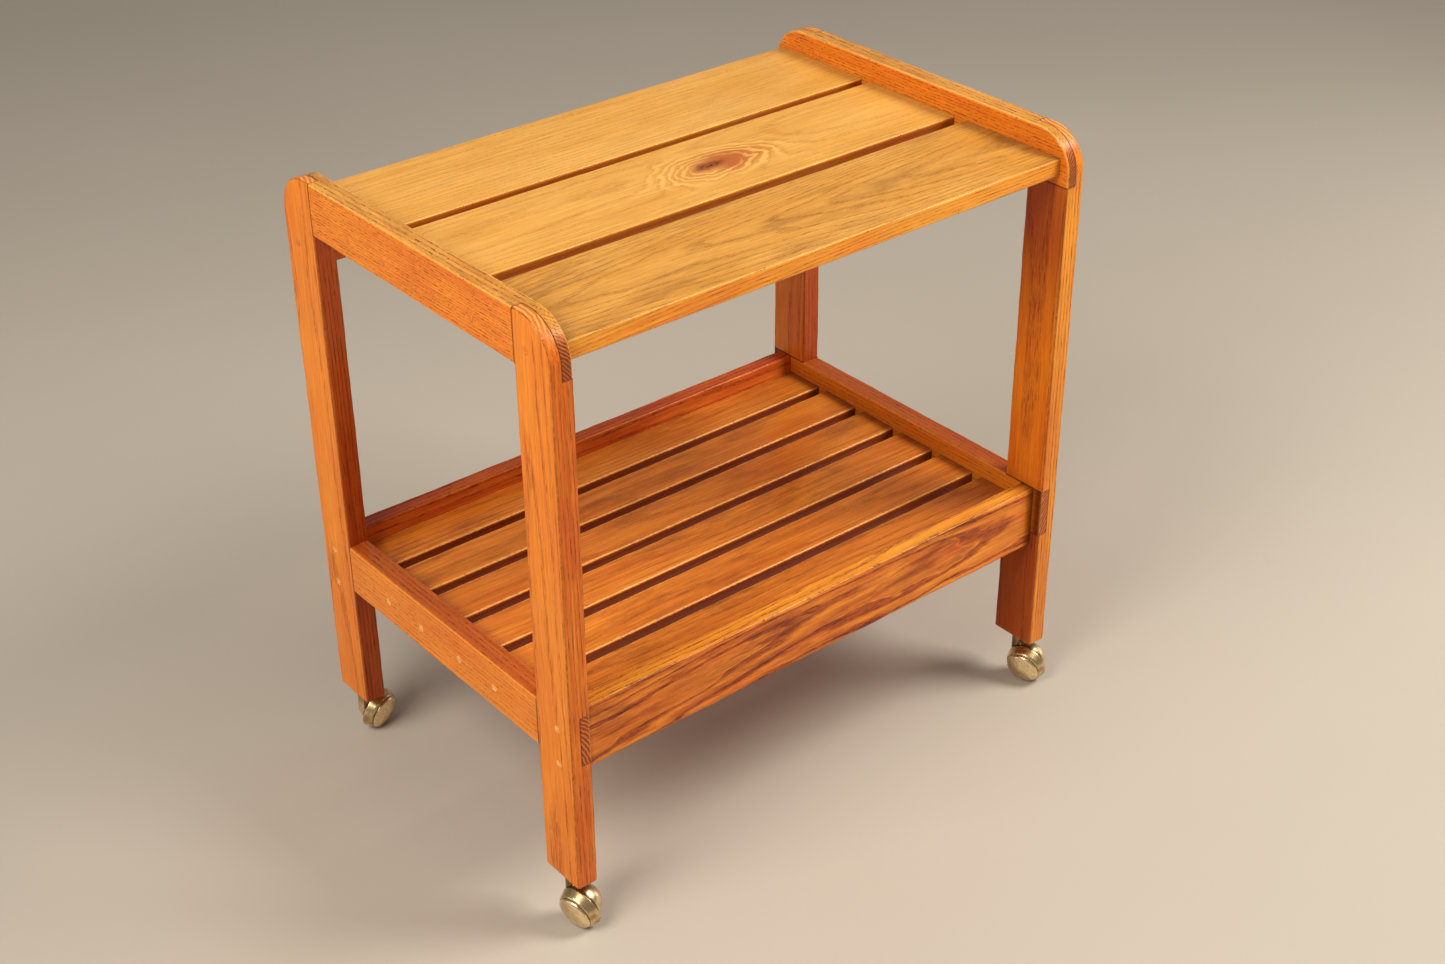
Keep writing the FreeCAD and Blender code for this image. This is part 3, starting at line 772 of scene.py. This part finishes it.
def build_wood():
    corners = [(side_x, side_y) for side_y in DEPTH_NAMES for side_x in SIDE_NAMES]
    for number, (side_x, side_y) in enumerate(corners):
        node = f"leg_{DEPTH_NAMES[side_y]}_{SIDE_NAMES[side_x]}"
        pith = (side_x * (FRAME_OUT + 62 + 9 * number), side_y * (186 + 9 * number), 300)
        # the front right leg's narrow faces use a lighter copy: painted light
        narrow = "frame_narrow_lit" if node == "leg_front_right" else "frame_narrow"
        material = oak(node, "frame", Z, pith, tilt=(1.0 - 0.5 * number, 0.7), seed=number + 1, other=narrow,
                       **LEG_OAK)
        leg(node, side_x, side_y, material, number + 1)
    for number, (side_x, end) in enumerate(SIDE_NAMES.items()):
        for name, (first_seed, outwards, height, look) in RAILS.items():
            node, seed = f"{name}_{end}", first_seed + number
            material = oak(node, "frame", Y, (side_x * (FRAME_OUT + outwards), 0, height), seed=seed, **look)
            rail(node, side_x, material, seed)
    for seed, (node, look) in enumerate({**BOARDS, **slat_looks()}.items(), 31):
        vary = 0.45 if node.startswith("apron") else 0.3
        base = 1.5 if node.startswith("top") else 2.0
        long_board(node, oak(node, grain=X, seed=seed, **look), seed, base, vary)


# ---------------------------------------------------------------- plugs
PLUG_RINGS = ((1.4, 0.16), (2.9, 0.13), (3.9, 0.08), (4.3, 0.02), (4.5, -0.12), (4.72, -0.12), (4.95, 0.04),
              (5.1, -0.4))  # radius and height over the face
PLUG_CROWN = 0.17
PLUG_FACE_R = 4.4
PLUG_AROUND = 32
SHELF_PLUGS_BELOW = 400.0
FILLER_TONE = -0.8


def islands(node):
    """Middle of every separate solid in a CAD node, in millimetres."""
    mesh = bmesh.new()
    mesh.from_mesh(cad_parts[node].data)
    bmesh.ops.remove_doubles(mesh, verts=mesh.verts, dist=1e-6)
    left, middles = set(mesh.verts), []
    while left:
        group, queue = [], [left.pop()]
        while queue:
            vertex = queue.pop()
            group.append(vertex.co)
            for link in vertex.link_edges:
                other = link.other_vert(vertex)
                if other in left:
                    left.remove(other)
                    queue.append(other)
        points = np.array(group) / MM
        middles.append((points.min(0) + points.max(0)) / 2)
    mesh.free()
    return sorted(middles, key=lambda m: (round(m[Z], 1), round(m[Y], 1)))


def plug_faces(first):
    """Faces of one plug whose middle point is number first and whose rings follow it."""
    faces = []
    last_ring = first + 1 + (len(PLUG_RINGS) - 1) * PLUG_AROUND
    for k in range(PLUG_AROUND):
        after = (k + 1) % PLUG_AROUND
        faces.append((first, first + 1 + k, first + 1 + after))
        for a in range(first + 1, last_ring, PLUG_AROUND):
            b = a + PLUG_AROUND
            faces.append((a + k, b + k, b + after, a + after))
    faces.append(tuple(last_ring + k for k in reversed(range(PLUG_AROUND))))
    return faces


def build_plugs():
    """Flush oak plugs over the screws, each with its own tone and a dark line around it."""
    turns = [2 * math.pi * k / PLUG_AROUND for k in range(PLUG_AROUND)]
    radii = [0.0] + [radius for radius, _ in PLUG_RINGS for _ in turns]
    seams = [1.0 if 4.35 < radius < 4.9 else (0.5 if radius > 4.2 else 0.0) for radius in radii]
    for side_x, end in SIDE_NAMES.items():
        node = "plugs_" + end
        points, faces, seam_and_shade, tone = [], [], [], []
        rng = np.random.default_rng(71 + side_x)
        for middle in islands(node):
            faces += plug_faces(len(points))
            shade = rng.uniform(0, 1) if middle[Z] > SHELF_PLUGS_BELOW else FILLER_TONE
            lean = rng.uniform(-0.02, 0.02, 2)
            points.append((side_x * (FRAME_OUT + PLUG_CROWN), middle[Y], middle[Z]))
            for radius, height in PLUG_RINGS:
                for turn in turns:
                    y, z = radius * math.cos(turn), radius * math.sin(turn)
                    tilt = (lean[0] * y + lean[1] * z) if radius < PLUG_FACE_R else 0.0
                    points.append((side_x * (FRAME_OUT + height + tilt), middle[Y] + y, middle[Z] + z))
            seam_and_shade += seams
            tone += [shade] * len(seams)
        if side_x < 0:
            faces = [tuple(reversed(f)) for f in faces]
        mesh = bpy.data.meshes.new(node + "_set")
        mesh.from_pydata((np.array(points) * MM).tolist(), [], faces)
        store(mesh, {"seam_and_shade": seam_and_shade, "tone": tone})
        mesh.materials.append(plug_finish(node))
        mesh.shade_smooth()
        stand_in(add_object(node + "_set", mesh), node)


def plug_finish(name):
    """Oak plugs: face grain, each plug lighter or darker than the next, pale filler on the low ones."""
    s = Shader("oak_" + name)
    pale, streak, pore_colour, _, _ = PALETTES["plug"]
    tone = s.attribute("tone")
    grain = s.mottle(1, 1.1, 7, detail=3.0, rough=0.65)
    pores = s.mottle(1, 0.5, 4.5)
    chipped = s.mottle(4, 3, 3, detail=3.0)
    filler = s.times(tone, s.step(chipped, 0.35, 0.55, -0.3, -1.1), clamp=True)
    colour = s.mix(s.step(grain, 0.3, 0.7), pale, streak)
    colour = s.mix(s.times(tone, 0.6, clamp=True), colour, streak)
    colour = s.mix(filler, colour, under_varnish(250, 190, 118))
    colour = s.mix(s.times(s.step(pores, 0.55, 0.66), 0.7), colour, pore_colour)
    colour = s.mix(s.times(s.attribute("seam_and_shade"), 0.85), colour, under_varnish(104, 46, 18))
    return s.finish({"Base Color": colour, "Roughness": s.step(pores, 0.3, 0.7, 0.3, 0.5),
                     "Specular IOR Level": 0.4}, relief=(grain, 0.4, 0.2 * MM))


# ---------------------------------------------------------------- metal
def metal(name, bright, dull, rough, patina=0.5, turned=False):
    """Plated metal with patina, specks and fine scratches, which circle the axle of a turned piece, and
    darkening where a mesh marks it, which is patina in the groove and painted shade on the hood.
    """
    s = Shader(name)
    blotch = s.mottle(9, detail=4.0, rough=0.65)
    specks = s.mottle(1.2, detail=3.0, rough=0.6)
    scratch = s.mottle(4, 4, 0.22 if turned else 4, detail=3.0, rough=0.7)
    colour = s.mix(s.times(s.step(blotch, 0.36, 0.66), patina), linear(*bright), linear(*dull))
    colour = s.mix(s.times(s.step(specks, 0.6, 0.72), 0.45), colour, linear(96, 74, 40))
    # darker where marked: patina in the wheel's groove, painted shade on the hood beside the rim and on its
    # neck
    colour = s.mix(s.times(s.attribute("seam_and_shade"), 0.8), colour, linear(78, 48, 24))
    gloss = s.plus(s.step(blotch, 0.35, 0.65, *rough), s.times(s.step(scratch, 0.5, 0.75), 0.16))
    height = s.plus(s.times(scratch, 0.35), s.times(specks, -0.4))
    return s.finish({"Base Color": colour, "Metallic": 1.0, "Roughness": gloss},
                    relief=(height, 0.35, 0.12 * MM))


# The caster's dimensions, as in the CAD: stations are measured along the axle from the wheel's rear edge.
RIM_R = 23.85
BAND_R = 21.55
BAND_L = 9.0
SHOULDER_R = 20.2
GROOVE_AT = 10.8
GROOVE_R = 19.2
RIM_INSIDE_R = 21.65
WEB_AT = 9.3
HUB_R = 5.0
HUB_REAR = -5.0
HUB_FRONT = 12.5
BORE_R = 2.56
CAP_SEAT = 11.5
CAP_R = 19.4
CAP_H = 6.5
CAP_SHOULDER_R = 3.0
CAP_T = 1.5
HOOD_R = 19.7
HOOD_T = 1.9
HOOD_LIFT = 4.0
HOOD_OPEN = -0.8
WHEEL_ROOM_R = 24.45
WHEEL_ROOM_L = 30.0
BOSS_FRONT = -5.3
BOSS_REAR = -19.4
NECK_R = 7.2
NECK_LOW = 30.0
NECK_TOP = 54.4
STEM_HOLE_R = 3.96
STEM_HOLE_LOW = 40.4
AROUND = 96
WHEEL_AT = (14.4, -2.7)     # the wheel's rear edge, off the stem's line
AXLE_DIP = math.atan2(RIM_R - BAND_R, BAND_L)
AXLE_TURN = Vector((0, 0, 1)).rotation_difference(
    Vector((0, -math.cos(AXLE_DIP), -math.sin(AXLE_DIP)))).to_matrix().to_4x4()
RIM_PLACE = Matrix.Translation(Vector((*WHEEL_AT, RIM_R * math.cos(AXLE_DIP))) * MM) @ AXLE_TURN
SWIVELS = {"front_left": -78.0, "front_right": -73.0, "back_left": 20.0, "back_right": 103.0}


def lathe(profile, around=AROUND):
    """Closed solid of revolution about Z from a closed profile; points on the axis become one vertex."""
    mesh = bmesh.new()
    turns = [2 * math.pi * k / around for k in range(around)]
    rings = []
    for a, r in profile:
        spots = [(0, 0)] if r < 1e-4 else [(r * MM * math.cos(t), r * MM * math.sin(t)) for t in turns]
        rings.append([mesh.verts.new((x, y, a * MM)) for x, y in spots])
    for first, second in zip(rings, rings[1:] + rings[:1]):
        if len(first) == 1 and len(second) == 1:
            continue
        for k in range(around):
            corners = [ring[turn % len(ring)] for ring, turn in
                       ((first, k), (first, k + 1), (second, k + 1), (second, k))]
            mesh.faces.new([v for i, v in enumerate(corners) if v not in corners[:i]])
    bmesh.ops.recalc_face_normals(mesh, faces=mesh.faces)
    return mesh


def eased(mesh, width, angle):
    """Rounds the edges of a turned piece that are sharper than an angle."""
    sharp = [e for e in mesh.edges if len(e.link_faces) == 2 and e.calc_face_angle(0) > math.radians(angle)]
    bmesh.ops.bevel(mesh, geom=sharp, offset=width * MM, segments=3, affect="EDGES", profile=0.5)
    return mesh


def mesh_object(name, mesh):
    data = bpy.data.meshes.new(name)
    mesh.to_mesh(data)
    mesh.free()
    data.shade_smooth()
    return add_object(name, data)


def carved(name, start, *operations):
    """The mesh left after boolean unions and cuts of turned pieces."""
    made = mesh_object(name, start)
    helpers = [made]
    for number, (operation, tool) in enumerate(operations):
        helper = mesh_object(f"{name}_tool_{number}", tool)
        helpers.append(helper)
        step = made.modifiers.new(f"step_{number}", "BOOLEAN")
        step.operation, step.solver, step.object = operation, "EXACT", helper
    bpy.context.view_layer.update()
    result = bpy.data.meshes.new_from_object(made.evaluated_get(bpy.context.evaluated_depsgraph_get()))
    for helper in helpers:
        bpy.data.objects.remove(helper)
    return result


def wheel_mesh():
    """Conical tread band with soft edges, a groove at its front, and the web and hub inside it."""
    rim = [(0.0, RIM_R - 1.0), (0.12, RIM_R - 0.5), (0.4, RIM_R - 0.22)]
    band = [(BAND_L * i / 8, RIM_R + (BAND_R - RIM_R) * i / 8) for i in range(1, 9)]
    shoulder = [(9.7, 21.25), (10.3, 20.85), (GROOVE_AT, SHOULDER_R)]
    front = [(GROOVE_AT, GROOVE_R), (CAP_SEAT, GROOVE_R), (CAP_SEAT, HUB_R), (HUB_FRONT, HUB_R)]
    hub = [(HUB_FRONT, BORE_R), (HUB_REAR, BORE_R), (HUB_REAR, HUB_R), (WEB_AT, HUB_R)]
    inside = [(WEB_AT, GROOVE_R), (0.0, RIM_INSIDE_R)]
    return eased(lathe(rim + band + shoulder + front + hub + inside), 0.3, angle=40)


def cap_outline(inset, count=12):
    """Points (station, distance from the axle) of the cap's dome, a given distance inside its outer skin."""
    seat = CAP_SEAT + 0.05
    crown_r = (CAP_R ** 2 - 2 * CAP_R * CAP_SHOULDER_R + CAP_H ** 2) / (2 * (CAP_H - CAP_SHOULDER_R))
    crown_at = seat + CAP_H - crown_r
    shoulder_y = CAP_R - CAP_SHOULDER_R
    meet = math.atan2(seat - crown_at, shoulder_y)
    shoulder = [meet * i / count for i in range(count)]
    crown = [meet + (math.pi / 2 - meet) * i / (2 * count) for i in range(2 * count + 1)]
    small, large = CAP_SHOULDER_R - inset, crown_r - inset
    return ([(seat + small * math.sin(t), shoulder_y + small * math.cos(t)) for t in shoulder]
            + [(crown_at + large * math.sin(t), large * math.cos(t)) for t in crown])


def cap_mesh():
    """Low domed cap: a shoulder arc that runs into a crown arc."""
    return eased(lathe(cap_outline(0.0) + cap_outline(CAP_T)[::-1]), 0.3, angle=60)


def upright(radius, low, high, rounded=False, around=64):
    """A pin on the stem's line, in the wheel's own coordinates, with a round foot if wanted."""
    foot = [(low, radius)]
    if rounded:
        turns = [math.pi / 2 * i / 8 for i in range(1, 9)]
        foot = [(low + radius - radius * math.cos(t), radius * math.sin(t)) for t in turns]
    top = [(high - 0.5, radius), (high, radius - 0.5), (high, 0)]
    mesh = lathe([(low, 0)] + foot + top, around)
    mesh.transform(RIM_PLACE.inverted())
    return mesh


def ball(radius, around):
    """A sphere about the middle of the hood's dome, turned about the axle."""
    count = around // 2
    turns = [math.pi - math.pi * i / count for i in range(1, count)]
    half = [(radius * math.cos(t), radius * math.sin(t)) for t in turns]
    mesh = lathe([(-radius, 0)] + half + [(radius, 0)], around)
    mesh.transform(Matrix.Translation(AXLE_TURN.inverted() @ Vector((0, 0, HOOD_LIFT * MM))))
    return mesh


def rod(radius, start, end, around):
    """A plain cylinder on the axle."""
    return lathe([(start, 0), (start, radius), (end, radius), (end, 0)], around)


def hood_mesh():
    """Domed hood behind the wheel, with the neck that takes the stem and the boss that holds the axle."""
    return carved("hood_master", ball(HOOD_R, AROUND),
                  ("UNION", upright(NECK_R, NECK_LOW, NECK_TOP, rounded=True)),
                  ("DIFFERENCE", ball(HOOD_R - HOOD_T, 64)),
                  ("DIFFERENCE", rod(WHEEL_ROOM_R, HOOD_OPEN, WHEEL_ROOM_L, AROUND)),
                  ("UNION", rod(HUB_R, BOSS_FRONT, BOSS_REAR, 48)),
                  ("DIFFERENCE", upright(STEM_HOLE_R, STEM_HOLE_LOW, 60.0, around=48)))


# stations between which the brass is darker: painted shade on the hood beside the wheel's rim, patina in the
# wheel's groove and at the cap's seat
PATINA_AND_SHADE_STATIONS = {"hood": (-2.4, math.inf), "wheel": (10.9, 11.9), "cap": (-math.inf, 11.7)}
NECK_SHADE = (44.5, 46.5)    # heights between which painted shade darkens the hood's neck under the leg
NECK_SHADE_MOST = 0.85
CASTER_BODY = {"hood": "swivel_", "wheel": "wheel_", "cap": "wheel_"}
BRASS = {
    "hood": ((240, 216, 170), (170, 136, 92), dict(rough=(0.24, 0.4))),
    "wheel": ((228, 200, 150), (150, 116, 74), dict(rough=(0.18, 0.38), patina=0.75, turned=True)),
    "cap": ((242, 218, 174), (176, 138, 94), dict(rough=(0.14, 0.28), patina=0.4)),
}
# start of the nodes' names, material, bright and dull colour, roughness
STEEL = (("caster_stem", "stem_steel_worn", (190, 182, 160), (120, 108, 84), (0.3, 0.5)),
         ("caster_socket", "socket_steel_worn", (176, 168, 146), (96, 84, 62), (0.35, 0.6)),
         ("caster_axle", "axle_steel_worn", (170, 166, 156), (110, 104, 92), (0.3, 0.5)),
         ("screws", "screw_steel_dull", (160, 156, 146), (104, 98, 86), (0.35, 0.55)))


def caster_masters():
    """The mesh of each turned piece, finished and marked with patina and painted shade, at the origin."""
    masters = {"hood": hood_mesh()}
    for key, made in (("wheel", wheel_mesh()), ("cap", cap_mesh())):
        masters[key] = bpy.data.meshes.new(key + "_master")
        made.to_mesh(masters[key])
        made.free()
    for key, mesh in masters.items():
        low, high = PATINA_AND_SHADE_STATIONS[key]
        stations = np.array([v.co.z for v in mesh.vertices]) / MM
        # patina in the groove, and painted shade on the hood beside the rim
        dirt = np.where((stations > low) & (stations < high), 1.0, 0.0)
        if key == "hood":
            # painted shade on the neck under the leg
            heights = np.array([(RIM_PLACE @ v.co).z for v in mesh.vertices]) / MM
            dirt = np.maximum(dirt, np.minimum(ramp(heights, *NECK_SHADE), NECK_SHADE_MOST))
        store(mesh, {"seam_and_shade": dirt})
        bright, dull, look = BRASS[key]
        mesh.materials.clear()
        mesh.materials.append(metal("aged_brass_" + key, bright, dull, **look))
        mesh.shade_smooth()
    masters["hood"].set_sharp_from_angle(angle=math.radians(40))
    return masters


def build_casters():
    masters = caster_masters()
    for corner, swivel in SWIVELS.items():
        low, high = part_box("caster_socket_" + corner)
        stem = (low + high) / 2
        turn = Matrix.Rotation(math.radians(swivel), 4, "Z")
        for key, master in masters.items():
            node = f"caster_{key}_{corner}"
            data = master.copy()
            data.name = node + "_turned"
            made = add_object(node + "_turned", data)
            made.matrix_world = Matrix.Translation((stem.x, stem.y, 0)) @ turn @ RIM_PLACE
            stand_in(made, node, CASTER_BODY[key] + corner)
    for start, name, bright, dull, rough in STEEL:
        material = metal(name, bright, dull, rough)
        for node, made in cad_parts.items():
            if node.startswith(start):
                for place in made.material_slots:
                    place.material = material


build_wood()
build_plugs()
build_casters()

# ---------------------------------------------------------------- stage, light, camera
FLOOR = 14.0            # half the floor's side, in metres
FLOOR_SPECKLE = 2 / 3   # size of its soft blotches, in metres
WARM = (1.0, 0.95, 0.88)
PALE = (1.0, 0.97, 0.94)
# name, place and aim in metres, width, power and colour
LIGHTS = (("key_softbox", (-2.0, -0.4, 2.2), (0, 0, 0.4), 1.6, 64, WARM),
          ("right_softbox", (1.5, -1.3, 2.3), (0.1, 0, 0.4), 1.2, 74, WARM),
          ("left_strip", (-2.4, 0.9, 0.6), (0, 0, 0.1), 1.3, 6, PALE),
          ("right_strip", (2.3, -0.4, 0.35), (0, 0, 0.1), 0.9, 4, PALE))
CAMERA_AT = (-1.2249, -1.5443, 1.4953)
CAMERA_TURN = (-39.31, 31.40, -0.43)    # azimuth, elevation and roll, in degrees
CAMERA_LENS = 53.46


def build_floor():
    paint = Shader("floor_paint")
    speckle = paint.noise(paint.stretch(paint.position, (FLOOR_SPECKLE,) * 3), detail=3.0)
    colour = paint.mix(speckle, linear(180, 170, 156), linear(188, 179, 166))
    mesh = bpy.data.meshes.new("studio_floor")
    corners = [(FLOOR * x, FLOOR * y, 0) for x, y in ((-1, -1), (1, -1), (1, 1), (-1, 1))]
    mesh.from_pydata(corners, [], [(0, 1, 2, 3)])
    mesh.materials.append(paint.finish({"Base Color": colour, "Roughness": 0.6}))
    add_object("studio_floor", mesh)


def area_light(name, place, aim, size, power, colour):
    data = bpy.data.lights.new(name, "AREA")
    data.shape = "DISK"
    data.size = size
    data.energy = power
    data.color = colour
    made = add_object(name, data)
    made.location = place
    made.rotation_euler = (Vector(aim) - Vector(place)).to_track_quat("-Z", "Y").to_euler()


def build_camera():
    azimuth, elevation, roll = (math.radians(degrees) for degrees in CAMERA_TURN)
    right = Vector((math.cos(azimuth), math.sin(azimuth), 0))
    back = Vector((math.sin(azimuth) * math.cos(elevation), -math.cos(azimuth) * math.cos(elevation),
                   math.sin(elevation)))
    up = back.cross(right)
    turned_right = right * math.cos(roll) + up * math.sin(roll)
    turned_up = up * math.cos(roll) - right * math.sin(roll)
    data = bpy.data.cameras.new("camera")
    data.sensor_width = 36.0
    data.lens = CAMERA_LENS
    camera = add_object("camera", data)
    axes = Matrix((turned_right, turned_up, back)).transposed()
    camera.matrix_world = Matrix.Translation(CAMERA_AT) @ axes.to_4x4()
    bpy.context.scene.camera = camera


build_floor()
for light in LIGHTS:
    area_light(*light)
build_camera()

world = bpy.data.worlds.new("studio")
world.use_nodes = True
background = world.node_tree.nodes["Background"].inputs
background["Color"].default_value = (0.92, 0.87, 0.80, 1)
background["Strength"].default_value = 0.3
bpy.context.scene.world = world
bpy.context.scene.view_settings.view_transform = "Standard"
